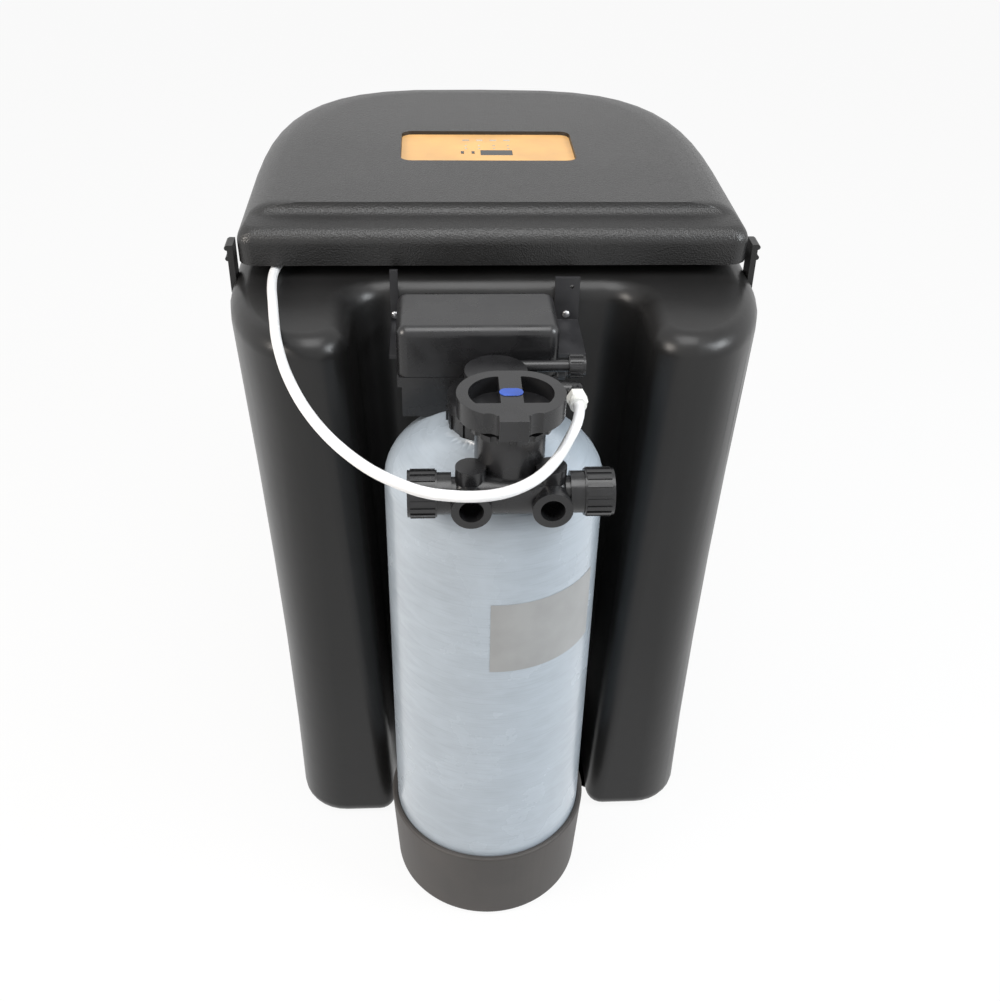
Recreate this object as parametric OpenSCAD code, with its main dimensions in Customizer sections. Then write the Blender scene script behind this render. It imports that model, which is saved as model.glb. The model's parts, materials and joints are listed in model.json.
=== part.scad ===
// Water softener: brine tank with hinged lid, pressure vessel, control valve and rotary bypass.
// The places below are measured from the vessel's axis, +Y to the back; y_shift then centres the part.

/* [Tank] */
// Height of the tank's deck above the floor
tank_h = 645; // [600:5:680]
// Width of the tank at the floor
tank_floor_w = 460; // [450:1:480]
// Width of the tank at its shoulder
tank_top_w = 536; // [526:1:556]
// Thickness of the moulded wall
tank_wall = 4.5; // [3.5:0.5:6]
// Radius round the tank's bottom edge
tank_foot_r = 20; // [12:1:24]
// Radius round the tank's shoulder
tank_shoulder_r = 22; // [14:1:26]
// Width of the bay between the lobes at the floor
bay_floor_w = 232; // [226:1:240]
// Width of the bay between the lobes at the deck
bay_top_w = 286; // [276:1:292]
// Distance from the vessel's axis to the back of the bay
bay_y = 170; // [150:1:176]
// Distance from the vessel's axis to the front of the lobes
nose_y = 44; // [36:1:50]
// Height of the rim round the tank's mouth above the deck
rim_h = 23; // [19:1:26]

/* [Lid] */
// Width of the lid
lid_w = 514; // [504:1:520]
// Distance from the vessel's axis to the lid's front
lid_front_y = 185; // [180:1:200]
// Distance from the vessel's axis to the lid's back
lid_back_y = 655; // [620:5:680]
// Thickness of the lid's wall
lid_wall = 4; // [3:0.5:5]
// Gap between the deck of the tank and the edge of the lid
lid_gap = 13; // [12:0.5:15]
// Height of the lid's upright skirt
skirt_h = 21; // [16:1:26]
// Radius of the roll above the front skirt
roll_r = 16; // [12:1:18]
// Width of the land between the roll and the cove
land_w = 13; // [8:1:18]
// Radius of the cove below the deck's front edge
cove_r = 13; // [9:1:16]
// Width of the rounded cheek along the sides and the back
cheek_w = 50; // [40:1:56]

/* [Panel] */
// Width of the control panel
panel_w = 194; // [170:1:210]
// Depth of the control panel
panel_d = 100; // [84:1:110]
// Distance from the lid's front to the panel
panel_inset = 165; // [150:1:180]
// Depth of the panel's tray under the deck
tray_h = 20; // [16:1:22]

/* [Hinge] */
// Radius of the hinge knuckles
knuckle_r = 7; // [6:0.5:8]
// Radius of the hinge pin
hinge_pin_r = 3; // [2.5:0.25:3.5]
// Length of one knuckle
knuckle_len = 24; // [18:1:28]
// Height of the pin above the tank's deck
hinge_rise = 19; // [18:0.5:24]

/* [Vessel] */
// Sideways place of the vessel's axis
vessel_x = -8.5; // [-10:0.5:0]
// Radius of the pressure vessel
vessel_r = 102.5; // [98:0.5:104]
// Thickness of the vessel's wound wall
vessel_wall = 3.5; // [3:0.25:5]
// Height at which the top dome starts
shoulder_z = 530; // [500:5:535]
// Rise of each dome
dome_h = 60; // [54:1:62]
// Outer radius of the vessel's neck
neck_r = 38; // [36:0.5:40]
// Height of the top of the neck
neck_z = 605; // [600:1:608]
// Height of the boot
boot_h = 103; // [90:1:115]
// Outer radius of the boot at its top
boot_r = 108.5; // [107:0.5:111]
// Outer radius of the riser tube
riser_r = 13.5; // [12:0.5:15]
// Height of the top of the resin
resin_z = 340; // [250:5:420]

/* [Control valve] */
// Height of the valve's base plate top
base_z = 617; // [615:0.5:620]
// Thickness of the base plate
base_t = 10; // [8:0.5:10]
// Width of the powerhead cover
head_w = 148; // [140:1:156]
// Depth of the powerhead cover
head_d = 80; // [76:1:88]
// Height of the powerhead cover
head_h = 49; // [46:1:54]
// Sideways place of the powerhead
head_x = -23; // [-26:1:-20]
// Distance from the vessel's axis to the powerhead's front
head_y = 30; // [28:1:36]
// Wall of the powerhead cover
head_wall = 2.5; // [2:0.25:3.5]
// Radius of the valve's turret
turret_r = 28; // [26:0.5:29]
// Radius of the spindle
spindle_r = 4; // [3:0.25:5]
// Radius of the discs
disc_r = 20; // [17:0.5:21]

/* [Bypass] */
// Distance from the vessel's axis to the bypass axis, to the front
bypass_y = -76; // [-80:0.5:-76]
// Outer radius of the rotor housing
housing_r = 30; // [29:0.5:30]
// Radius of the rotor
rotor_r = 24.6; // [22:0.2:24.8]
// Height of the housing's bottom
housing_z = 588; // [586:1:592]
// Height of the housing
housing_h = 50; // [46:1:54]
// Height of the port axes
port_z = 578; // [576:0.5:582]
// Distance between the two front ports
port_pitch = 67.6; // [64:0.2:72]
// Radius of the port bores
port_bore_r = 10.35; // [9:0.05:11]
// Outer radius of the ports
port_r = 15; // [14:0.5:17]
// Distance from the vessel's axis to the port faces, to the front
port_face_y = -127; // [-134:1:-124]
// Outer radius of the cap nuts
nut_r = 21; // [20:0.5:23]
// Length of a cap nut
nut_len = 25; // [22:0.5:28]
// Width of the handle
handle_w = 91; // [84:1:96]
// Depth of the handle without its pointer
handle_d = 74; // [68:1:78]
// Thickness of the handle
handle_h = 19; // [15:0.5:21]

/* [Brine] */
// Outer diameter of the brine tube
tube_d = 9.5; // [8:0.5:10]
// Sideways place of the brine well
well_x = -180; // [-182:1:-176]
// Distance from the vessel's axis to the brine well
well_y = 308; // [304:1:316]
// Outer radius of the brine well
well_r = 32; // [30:0.5:34]
// Wall of the brine well
well_wall = 3; // [2:0.25:4]
// Height of the salt grid above the floor
grid_z = 60; // [45:1:80]
// Thickness of the salt grid
grid_t = 5; // [4:0.5:7]
// Radius of the float
float_r = 25; // [20:0.5:26]
// Height of the float at rest
float_z = 170; // [120:5:220]
// Length of the float
float_h = 60; // [45:1:80]

/* [Fits] */
// Radial clearance of a running pin or shaft
run_gap = 0.08; // [0.04:0.01:0.1]
// Clearance between pieces that only sit together
sit_gap = 0.4; // [0.3:0.05:0.5]

/* [Hidden] */
$fn = 48;

// Tank plan: the flare grows towards the shoulder, the lobes' noses narrow on the way up
flare_power = 1.5;
nose_back = 4;
nose_inner_r = [20, 36];
nose_outer_x = [176, 185];
nose_corner_d = [52, 150];
bay_corner_r = 34;
bay_bow = 0.05;
front_bow = 0.05;
plan_power = 3.5;
rear_y = 290;
tank_back_y = [lid_back_y - 34, lid_back_y + 5];
arc_steps = 5;
// Scatter of the moulded skin's points, which keeps them off common planes
skin_scatter = 0.006;
wall_levels = [0.18, 0.36, 0.54, 0.72, 0.86];

// Lid levels
lid_z = tank_h + lid_gap;
roll_z = lid_z + skirt_h;
land_z = roll_z + roll_r;
deck_z = land_z + cove_r;
land_rise = 1.5;
lid_steps = 7;
skirt_corner_r = 18;
deck_corner_r = 12;
rim_z = tank_h + rim_h;
rim_front = 44;
rim_side = 14;
rim_t = tank_wall;
mouth_corner_r = 25;

// Hinge
pad_w = 5 * knuckle_len + 12;
pad_back_y = lid_back_y + 7.5;
pad_t = 10.4;
pad_z = [tank_h - 45, tank_h + 11];
leaf_t = 4;
hinge_y = pad_back_y + knuckle_r;
hinge_z = tank_h + hinge_rise;
screw_r = 2;
screw_head_r = 4;
screw_head_h = 2;

// The whole part is centred between its front ports and its hinge
y_shift = -(port_face_y + hinge_y + knuckle_r) / 2;

// Panel
panel_y = lid_front_y + panel_inset;
panel_corner_r = 12;
tray_border = 8;
tray_wall = 3;
overlay_t = 1.5;
deck_under_z = deck_z - lid_wall;

// Vessel
boot_taper = 5;
boot_wall = 4;
vessel_foot_z = 16;
dome_steps = 10;

// Control valve
collar_r = neck_r + 5;
column_w = 52;
column_d = 60;
column_x = head_x - head_w / 2 + column_w / 2 + 4;
column_y = head_y + column_d / 2;
column_z = 576;
disc_t = 6;
chamber_h = 2 * disc_t + 1.2;
chamber_z = base_z - 3 - chamber_h;
coupling_r = 8;
coupling_h = 10;
motor_r = 20;
motor_h = 22;
front_face_y = bypass_y + housing_r;
block_top_z = base_z + 13;
valve_top_z = base_z + 24;
brine_y = 0;
brine_z = base_z + 3;
brine_reach = 63;
injector_y = head_y - 12.5;
injector_z = brine_z + 15;
injector_reach = 58;

// Bypass
housing_top = housing_z + housing_h;
cavity_r = rotor_r + sit_gap;
ring_r = housing_r + 6;
ring_h = 5;
tee_y = bypass_y - 23;
tee_r = 18.5;
stub_x = 62;
stub_r = 14;
bonnet_t = 4;
stem_r = 9;
handle_z = housing_top + bonnet_t + 1;
rim_w = 10;
seal_r = 1.4;
seal_levels = [0.2, 0.8];
port_depth = 26;

// Brine parts
well_top_z = tank_h - 17;
well_cap_h = 7;
elbow_z = tank_h + 6;
elbow_turn = 20;
elbow_reach = 34;
elbow_r = 8;
rod_r = 4;

// Brackets on the back wall of the bay
strap_t = 4;
left_strap_x = [-106, -98];
right_strap_x = [59, 84];
strap_top = [tank_h + 16, tank_h + 8];
right_strap_foot = base_z - 46;

// Brine tube: the route's points from the brine nut to the elbow on the well
tube_route = [[63, -28, 620], [63, -36, 620], [59, -54, 618.5], [50, -76, 615.5], [38, -101, 613],
    [23, -123, 611.5], [6, -138, 610.5], [-13, -147, 610], [-33, -150, 610], [-52, -149, 610.5],
    [-70, -146, 611.5], [-89, -138, 613.5], [-118, -119, 618], [-148, -87, 624.5], [-173, -47, 632],
    [-192, -2, 640], [-204, 42, 647], [-210, 78, 651], [-215, 114, 651.3], [-220, 152, 651.2],
    [-221.5, 186, 651], [-217, 212, 651], [-208.3, 238, 651]];
tube_sides = 10;
tube_ring_gap = 2.5;

function lerp(a, b, t) = a + (b - a) * t;

// Points along an arc
function arc(centre, r, a0, a1, steps) =
    [for (i = [0:steps]) let (a = lerp(a0, a1, i / steps)) centre + r * [cos(a), sin(a)]];

// Whole outline from its right half, which starts and ends on the middle plane
function both_halves(half) = concat(half, [for (i = [len(half) - 2:-1:1]) [-half[i][0], half[i][1]]]);

// Rear of a plan, from the side to the middle of the back
function rear_half(half_w, back) =
    [for (i = [0:12]) let (a = 90 * pow(i / 12, 1.3))
        [half_w * pow(abs(cos(a)), 2 / plan_power),
            rear_y + (back - rear_y) * pow(sin(a), 2 / plan_power)]];

function raised(points, z) = [for (p = points) [p[0], p[1], z]];

// Outline of the tank at one height, moved inwards by an inset
function tank_outline(z, inset) =
    let (t = min(max(z / tank_h, 0), 1),
        flare = pow(t, flare_power),
        half_w = lerp(tank_floor_w, tank_top_w, flare) / 2 - inset,
        bay = lerp(bay_floor_w, bay_top_w, t) / 2 + inset,
        front = nose_y + nose_back * (t - 0.5) + inset,
        inner_r = max(lerp(nose_inner_r[0], nose_inner_r[1], t) - inset, 2),
        outer_x = lerp(nose_outer_x[0], nose_outer_x[1], t),
        corner_d = lerp(nose_corner_d[0], nose_corner_d[1], t) - inset,
        concave_r = bay_corner_r + inset)
    both_halves(concat([[0, bay_y + inset + bay_bow]],
        arc([bay - concave_r, bay_y + inset - concave_r], concave_r, 90, 0, 5),
        arc([bay + inner_r, front + inner_r], inner_r, 180, 270, 5),
        [for (i = [0:8]) let (a = 90 * i / 8)
            [outer_x + (half_w - outer_x) * sin(a), front + corner_d * (1 - cos(a))]],
        rear_half(half_w, lerp(tank_back_y[0], tank_back_y[1], flare) - inset)));

// Outline of the lid with its front and its other sides moved inwards
function lid_outline(front_inset, side_inset, corner_r) =
    let (half_w = lid_w / 2 - side_inset, front = lid_front_y + front_inset)
    both_halves(concat([[0, front - front_bow]],
        arc([half_w - corner_r, front + corner_r], corner_r, 270, 360, 5),
        rear_half(half_w, lid_back_y - side_inset)));

// Inset of the lid's rounded cheek at one height
function cheek(z) =
    let (t = min(max((z - roll_z) / (deck_z - roll_z), 0), 1)) cheek_w * (1 - sqrt(1 - t * t));

// Front profile of the lid, from the skirt's edge over the roll and the cove to the deck
lid_profile = concat([[lid_z, 0]],
    [for (i = [0:lid_steps]) let (a = 90 * i / lid_steps)
        [roll_z + roll_r * sin(a), roll_r * (1 - cos(a))]],
    [for (i = [0:lid_steps]) let (a = 90 * i / lid_steps)
        [land_z + land_rise + (cove_r - land_rise) * (1 - cos(a)), roll_r + land_w + cove_r * sin(a)]]);

// Rounded rectangle, from its near left corner
function rounded_rect(w, d, r) = concat(arc([w - r, r], r, 270, 360, 5), arc([w - r, d - r], r, 0, 90, 5),
    arc([r, d - r], r, 90, 180, 5), arc([r, r], r, 180, 270, 5));

// Profile of the vessel, grown or shrunk, from the middle of its bottom to the neck
function dome_r(r, i) = r * sin(90 * i / dome_steps);
function vessel_profile(grow, neck_radius, top) =
    let (r = vessel_r + grow, h = dome_h + grow, low = vessel_foot_z + dome_h,
        meet = asin(neck_radius / r))
    concat([for (i = [0:dome_steps]) [dome_r(r, i), low - h * cos(90 * i / dome_steps)]],
        [for (i = [0:dome_steps]) let (a = lerp(90, meet, i / dome_steps))
            [r * sin(a), shoulder_z + h * cos(a)]],
        [[neck_radius, top], [0, top]]);

// Points between the route's points on a smooth curve through them
function curve_point(p, q, r, s, t) = 0.5 * (2 * q + (r - p) * t + (2 * p - 5 * q + 4 * r - s) * t * t
    + (3 * q - p - 3 * r + s) * t * t * t);
function smooth_route(pts) = let (last = len(pts) - 1)
    concat([for (i = [0:last - 1])
        let (gap = norm(pts[i + 1] - pts[i]), steps = max(1, round(gap / (tube_ring_gap * tube_d))))
        each [for (k = [0:steps - 1]) curve_point(pts[max(i - 1, 0)], pts[i], pts[i + 1],
            pts[min(i + 2, last)], k / steps)]], [pts[last]]);
function unit(v) = v / norm(v);

// End of the tube, at the mouth of the elbow on the brine well
elbow_dir = [-sin(elbow_turn), -cos(elbow_turn), 0];
tube_path = concat(tube_route, [[well_x, well_y, elbow_z] + (elbow_reach + 8) * elbow_dir,
    [well_x, well_y, elbow_z] + elbow_reach * elbow_dir]);

module placed() {
    translate([0, y_shift, 0]) children();
}

module at_vessel() {
    translate([vessel_x, 0, 0]) children();
}

// Closed solid through rings of equal count, given from the bottom up
module loft(rings) {
    n = len(rings[0]);
    last = len(rings) - 1;
    sides = [for (k = [0:last - 1], i = [0:n - 1]) let (j = (i + 1) % n, a = k * n, b = a + n)
        each [[a + i, b + i, b + j], [a + i, b + j, a + j]]];
    polyhedron(points = [for (r = rings) each r],
        faces = concat([[for (i = [0:n - 1]) i]], sides, [[for (i = [n - 1:-1:0]) last * n + i]]));
}

// Block with rounded upright edges and rounded top edges
module soft_box(w, d, h, edge_r, top_r) {
    loft(concat([raised(rounded_rect(w, d, edge_r), 0)],
        [for (i = [0:4]) let (a = 90 * i / 4, inset = top_r * (1 - cos(a)))
            [for (p = rounded_rect(w - 2 * inset, d - 2 * inset, edge_r - inset))
                [p[0] + inset, p[1] + inset, h - top_r + top_r * sin(a)]]]));
}

// Rings of one skin of the tank, from its floor over the shoulder
function tank_rings(inset, steps) =
    let (foot_r = tank_foot_r - inset, top_r = tank_shoulder_r - inset,
        levels = concat(
            [for (i = [0:steps]) let (a = 90 * i / steps)
                [inset + foot_r * (1 - cos(a)), inset + foot_r * (1 - sin(a))]],
            [for (t = wall_levels) [t * tank_h, inset]],
            [for (i = [0:steps]) let (a = 90 * i / steps)
                [tank_h - inset - top_r + top_r * sin(a), inset + top_r * (1 - cos(a))]]))
    [for (l = levels) raised(tank_outline(l[0], l[1]), l[0])];

// Edge of the mouth, point for point with the tank's outline
function mouth_outline() =
    let (half_w = lid_w / 2 - rim_side - rim_t, front = lid_front_y + rim_front + rim_t)
    both_halves(concat([[0, front - front_bow]],
        [for (i = [0:5]) [lerp(0.45, 0.9, i / 5) * (half_w - mouth_corner_r), front]],
        arc([half_w - mouth_corner_r, front + mouth_corner_r], mouth_corner_r, 270, 360, 14),
        rear_half(half_w, lid_back_y - rim_side - rim_t)));

// The tank's shell: the outer skin, over the edge of the mouth, and the inner skin back to the floor
// Ring of points with the skin's scatter
function scattered(ring, seed) =
    let (g = skin_scatter, n = len(ring),
        x = rands(-g, g, n, seed),
        y = rands(-g, g, n, seed + 100),
        z = rands(-g, g, n, seed + 200))
    [for (i = [0:n - 1]) ring[i] + [x[i], y[i], z[i]]];

module tank_shell() {
    inner = tank_rings(tank_wall, 3);
    rings = concat(tank_rings(0, arc_steps),
        [raised(mouth_outline(), tank_h), raised(mouth_outline(), tank_h - tank_wall)],
        [for (i = [len(inner) - 1:-1:0]) inner[i]]);
    last = len(rings) - 1;
    loft([for (k = [0:last]) k == 0 || k == last ? rings[k] : scattered(rings[k], k)]);
}

module rim_prism(inset, z0, z1) {
    translate([0, 0, z0])
        linear_extrude(z1 - z0)
            polygon(lid_outline(rim_front + inset, rim_side + inset, mouth_corner_r));
}

// Upright guide with two ribs beside the lid's front corner
module lid_guide(side) {
    guide_t = 6;
    guide_d = 22;
    x = lid_w / 2 + 4;
    top = lid_z + 18;
    low = tank_h - tank_shoulder_r + 3;
    mirror([side < 0 ? 1 : 0, 0, 0]) {
        translate([x, lid_front_y + 8, low]) cube([guide_t, guide_d, top - low]);
        for (z = [top - 3, top - 14])
            translate([x + guide_t, lid_front_y + 8, z]) rotate([-90, 0, 0]) cylinder(r = 2.5, h = guide_d);
    }
}

module tank() color("#232324") placed() {
    difference() {
        union() {
            tank_shell();
            translate([-pad_w / 2, pad_back_y - pad_t, pad_z[0]])
                cube([pad_w, pad_t, pad_z[1] - pad_z[0]]);
            for (side = [-1, 1])
                lid_guide(side);
        }
        for (x = [-1, 1])
            translate([x * leaf_screw_x(), pad_back_y - 10, leaf_screw_z(0)])
                rotate([-90, 0, 0]) cylinder(r = screw_r, h = 11);
        for (p = bracket_screw_places)
            translate([p[0], bay_y - 1, p[1]])
                rotate([-90, 0, 0]) cylinder(r = screw_r, h = 2 * tank_wall);
    }
}

// Rim round the tank's mouth, notched where the brine tube goes in
module mouth_rim() color("#232324") placed() {
    notch_w = 24;
    notch_x = -210;
    difference() {
        rim_prism(0, tank_h, rim_z);
        rim_prism(rim_t, tank_h - 1, rim_z + 1);
        translate([notch_x - notch_w / 2, lid_front_y + rim_front - 4, tank_h - 1])
            cube([notch_w, 16, rim_h + 2]);
    }
}

module lid_loft(t) {
    loft([for (p = lid_profile) let (z = p[0] - t)
        raised(lid_outline(p[1] + t, cheek(p[0]) + t,
            lerp(skirt_corner_r, deck_corner_r, (p[0] - lid_z) / (deck_z - lid_z))), z)]);
}

module lid() color("#2b2b2c") placed() {
    seat_low = hinge_z + knuckle_r + 1;
    difference() {
        union() {
            lid_loft(0);
            translate([-2.5 * knuckle_len, lid_back_y - lid_wall, seat_low])
                cube([5 * knuckle_len, lid_wall + sit_gap, roll_z - 1 - seat_low]);
        }
        difference() {
            lid_loft(lid_wall);
            difference() {
                rim_prism(0, rim_z, deck_z);
                rim_prism(rim_t, rim_z - 1, deck_z + 1);
            }
        }
        translate([-panel_w / 2, panel_y, deck_z - 2 * lid_wall])
            linear_extrude(3 * lid_wall) polygon(rounded_rect(panel_w, panel_d, panel_corner_r));
        for (k = [0, 4])
            translate([(k - 2) * knuckle_len, lid_back_y - 2 * lid_wall, roll_z - 5])
                rotate([-90, 0, 0]) cylinder(r = screw_r, h = 3 * lid_wall);
    }
}

function leaf_screw_x() = 1.5 * knuckle_len;
function leaf_screw_z(row) = pad_z[0] + 14 + 20 * row;

// Knuckles of one hinge leaf, from the given start, with every other place left free
module knuckles(places) {
    gap = 0.5;
    for (k = places)
        translate([(k - 2.5) * knuckle_len + gap / 2, hinge_y, hinge_z])
            rotate([0, 90, 0]) cylinder(r = knuckle_r, h = knuckle_len - gap);
}

module knuckle_bore(r) {
    translate([-3 * knuckle_len, hinge_y, hinge_z])
        rotate([0, 90, 0]) cylinder(r = r, h = 6 * knuckle_len);
}

module tank_hinge_leaf() color("#1d1d1e") placed() {
    plate_w = 5 * knuckle_len;
    low = pad_z[0] + 4;
    high = hinge_z - knuckle_r - 1.5;
    difference() {
        union() {
            knuckles([0, 2, 4]);
            translate([-plate_w / 2, pad_back_y, low]) cube([plate_w, leaf_t, high - low]);
            for (k = [0, 2, 4])
                translate([(k - 2.5) * knuckle_len + 0.25, pad_back_y, low])
                    cube([knuckle_len - 0.5, leaf_t, hinge_z - low]);
        }
        knuckle_bore(hinge_pin_r + run_gap);
        for (x = [-1, 1])
            translate([x * leaf_screw_x(), pad_back_y - 1, leaf_screw_z(0)])
                rotate([-90, 0, 0]) cylinder(r = screw_r + 0.1, h = leaf_t + 2);
    }
}

module lid_hinge_leaf() color("#1d1d1e") placed() {
    plate_w = 5 * knuckle_len;
    face_y = lid_back_y + sit_gap;
    low = lid_z + 2;
    high = roll_z - 1;
    difference() {
        union() {
            knuckles([1, 3]);
            translate([-plate_w / 2, face_y, hinge_z + knuckle_r + 1])
                cube([plate_w, leaf_t, high - hinge_z - knuckle_r - 1]);
            for (k = [1, 3])
                translate([(k - 2.5) * knuckle_len + 0.25, face_y, hinge_z - 2])
                    cube([knuckle_len - 0.5, hinge_y - face_y, high - hinge_z + 2]);
        }
        knuckle_bore(hinge_pin_r + run_gap);
        for (k = [0, 4])
            translate([(k - 2) * knuckle_len, face_y - 1, high - 4])
                rotate([-90, 0, 0]) cylinder(r = screw_r + 0.1, h = leaf_t + 2);
    }
}

module hinge_pin() color("#b9bbbd") placed() {
    translate([-2.5 * knuckle_len - 1, hinge_y, hinge_z])
        rotate([0, 90, 0]) cylinder(r = hinge_pin_r, h = 5 * knuckle_len + 2);
}

// Screw with a domed head, along +Y from the head's seat towards the front
module screw_in(length) {
    rotate([90, 0, 0]) cylinder(r = screw_r - 0.1, h = length);
    rotate([-90, 0, 0])
        rotate_extrude()
            polygon(concat([[0, 0], [screw_head_r, 0]],
                [for (i = [1:4]) [screw_head_r * cos(90 * i / 4), screw_head_h * sin(90 * i / 4)]]));
}

module tank_leaf_screws() color("#c4c6c8") placed() {
    for (x = [-1, 1])
        translate([x * leaf_screw_x(), pad_back_y + leaf_t, leaf_screw_z(0)]) screw_in(leaf_t + 8);
}

module lid_leaf_screws() color("#c4c6c8") placed() {
    for (k = [0, 4])
        translate([(k - 2) * knuckle_len, lid_back_y + sit_gap + leaf_t, roll_z - 5])
            screw_in(leaf_t + lid_wall);
}

module panel_tray() color("#1a1a1b") placed() {
    border = tray_border;
    difference() {
        translate([-panel_w / 2 - border, panel_y - border, deck_under_z - tray_h])
            linear_extrude(tray_h)
                polygon(rounded_rect(panel_w + 2 * border, panel_d + 2 * border, panel_corner_r + border));
        translate([-panel_w / 2, panel_y, deck_under_z - overlay_t])
            linear_extrude(overlay_t + 1) polygon(rounded_rect(panel_w, panel_d, panel_corner_r));
        translate([-panel_w / 2 + tray_wall, panel_y + tray_wall, deck_under_z - tray_h + tray_wall])
            linear_extrude(tray_h)
                polygon(rounded_rect(panel_w - 2 * tray_wall, panel_d - 2 * tray_wall,
                    panel_corner_r - tray_wall));
    }
}

display_w = 36;
display_d = 17;
display_x = 10;
display_y = panel_y + 29;
lamp_r = 1.6;
lamp_xs = [-24, -9, 8, 24];
lamp_ys = [panel_y + 51, panel_y + 61];
board_t = 1.6;
board_post_h = 8;
board_low = deck_under_z - tray_h + tray_wall;
board_top = board_low + board_post_h + board_t;

module panel_overlay() color("#c98a4a") placed() {
    inset = 0.3;
    difference() {
        translate([-panel_w / 2 + inset, panel_y + inset, deck_under_z - overlay_t])
            linear_extrude(overlay_t)
                polygon(rounded_rect(panel_w - 2 * inset, panel_d - 2 * inset, panel_corner_r - inset));
        translate([display_x - display_w / 2, display_y, deck_under_z - overlay_t - 1])
            cube([display_w, display_d, overlay_t + 2]);
        for (x = lamp_xs, y = lamp_ys)
            translate([x, y, deck_under_z - overlay_t - 1]) cylinder(r = lamp_r, h = overlay_t + 2);
    }
}

module display_window() color("#15171a") placed() {
    inset = 0.2;
    translate([display_x - display_w / 2 + inset, display_y + inset, board_top])
        cube([display_w - 2 * inset, display_d - 2 * inset, deck_under_z - board_top]);
}

module indicator_lamps() color("#e9e4d8") placed() {
    for (x = lamp_xs, y = lamp_ys)
        translate([x, y, board_top]) cylinder(r = lamp_r - 0.2, h = deck_under_z - board_top + 0.3);
}

module control_board() color("#2f6b45") placed() {
    margin = tray_wall + 4;
    inset = margin + 6;
    translate([-panel_w / 2 + margin, panel_y + margin, board_low + board_post_h])
        cube([panel_w - 2 * margin, panel_d - 2 * margin, board_t]);
    for (x = [inset - panel_w / 2, panel_w / 2 - inset], y = [panel_y + inset, panel_y + panel_d - inset])
        translate([x, y, board_low]) cylinder(r = 3, h = board_post_h);
}

module salt_grid() color("#d9d8d2") placed() {
    edge_gap = 3;
    hole_r = 7;
    pitch = 46;
    foot_r = 11;
    feet = [[-150, 90], [150, 90], [120, 230], [-60, 230], [150, 400], [-150, 400], [0, 540], [0, 330]];
    difference() {
        union() {
            translate([0, 0, grid_z])
                linear_extrude(grid_t) polygon(tank_outline(grid_z, tank_wall + edge_gap));
            for (p = feet)
                translate([p[0], p[1], tank_wall]) cylinder(r = foot_r, h = grid_z - tank_wall);
        }
        for (i = [-3:3], j = [0:6])
            translate([i * pitch, bay_y + 48 + j * pitch, grid_z - 1]) cylinder(r = hole_r, h = grid_t + 2);
        translate([well_x, well_y, grid_z - 1]) cylinder(r = well_r + 1, h = grid_t + 2);
    }
}

module brine_well() color("#e6e6e1") placed() {
    slot_w = 6;
    slot_h = 36;
    translate([well_x, well_y, tank_wall])
        difference() {
            cylinder(r = well_r, h = well_top_z - tank_wall);
            translate([0, 0, -1]) cylinder(r = well_r - well_wall, h = well_top_z + 2);
            for (a = [0:45:315], k = [0, 1])
                rotate([0, 0, a]) translate([well_r - 2 * well_wall, -slot_w / 2, 14 + 90 * k])
                    cube([3 * well_wall, slot_w, slot_h]);
        }
}

module well_cap() color("#2a2a2b") placed() {
    lip = 3;
    translate([well_x, well_y, well_top_z])
        difference() {
            union() {
                cylinder(r = well_r + lip, h = well_cap_h);
                translate([0, 0, -8]) cylinder(r = well_r - well_wall - sit_gap, h = 8);
            }
            translate([0, 0, -9]) cylinder(r = rod_r + 0.1, h = 9 + 3);
        }
}

module float_rod() color("#dcdcda") placed() {
    translate([well_x, well_y, tank_wall]) cylinder(r = rod_r, h = well_top_z + 2 - tank_wall);
}

module brine_float() color("#d3523a") placed() {
    translate([well_x, well_y, float_z])
        difference() {
            rotate_extrude()
                polygon(concat([[0, 0]], arc([float_r - 6, 6], 6, 270, 360, 5),
                    arc([float_r - 6, float_h - 6], 6, 0, 90, 5), [[0, float_h]]));
            translate([0, 0, -1]) cylinder(r = rod_r + run_gap, h = float_h + 2);
        }
}

module brine_elbow() color("#e9e9e6") placed() {
    translate([well_x, well_y, 0]) {
        low = well_top_z + well_cap_h;
        translate([0, 0, low]) cylinder(r = elbow_r, h = elbow_z - low);
        translate([0, 0, elbow_z]) sphere(r = elbow_r + 0.6);
        translate([0, 0, elbow_z]) rotate([90, 0, -elbow_turn]) cylinder(r = elbow_r, h = elbow_reach - 10);
        translate([0, 0, elbow_z]) rotate([90, 0, -elbow_turn])
            translate([0, 0, elbow_reach - 10]) cylinder(r = elbow_r - 1, h = 10);
    }
}

module vessel_boot() color("#4a4644") placed() at_vessel() {
    low_r = boot_r - boot_taper;
    foot_r = 8;
    rotate_extrude()
        difference() {
            polygon(concat([[0, 0]], arc([low_r - foot_r, foot_r], foot_r, 270, 360, 5),
                [[boot_r, boot_h - 3]], arc([boot_r - 3, boot_h - 3], 3, 0, 90, 3), [[0, boot_h]]));
            polygon(vessel_profile(sit_gap, neck_r, neck_z));
            translate([0, boot_wall]) square([vessel_r - 34, vessel_foot_z + 4]);
        }
}

module vessel_shell() color("#c9dbe6") placed() at_vessel() {
    rotate_extrude()
        difference() {
            polygon(vessel_profile(0, neck_r, neck_z));
            polygon(vessel_profile(-vessel_wall, neck_r - 5, neck_z + 1));
        }
}

module neck_seal() color("#111112") placed() at_vessel() {
    translate([0, 0, neck_z + 1.5])
        rotate_extrude() translate([neck_r - 2.5, 0]) circle(r = 1.5);
}

module riser_tube() color("#f0f0ee") placed() at_vessel() {
    low = vessel_foot_z + vessel_wall + 14;
    translate([0, 0, low])
        difference() {
            cylinder(r = riser_r, h = neck_z - 2 - low);
            translate([0, 0, -1]) cylinder(r = riser_r - 2.5, h = neck_z);
        }
}

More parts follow.
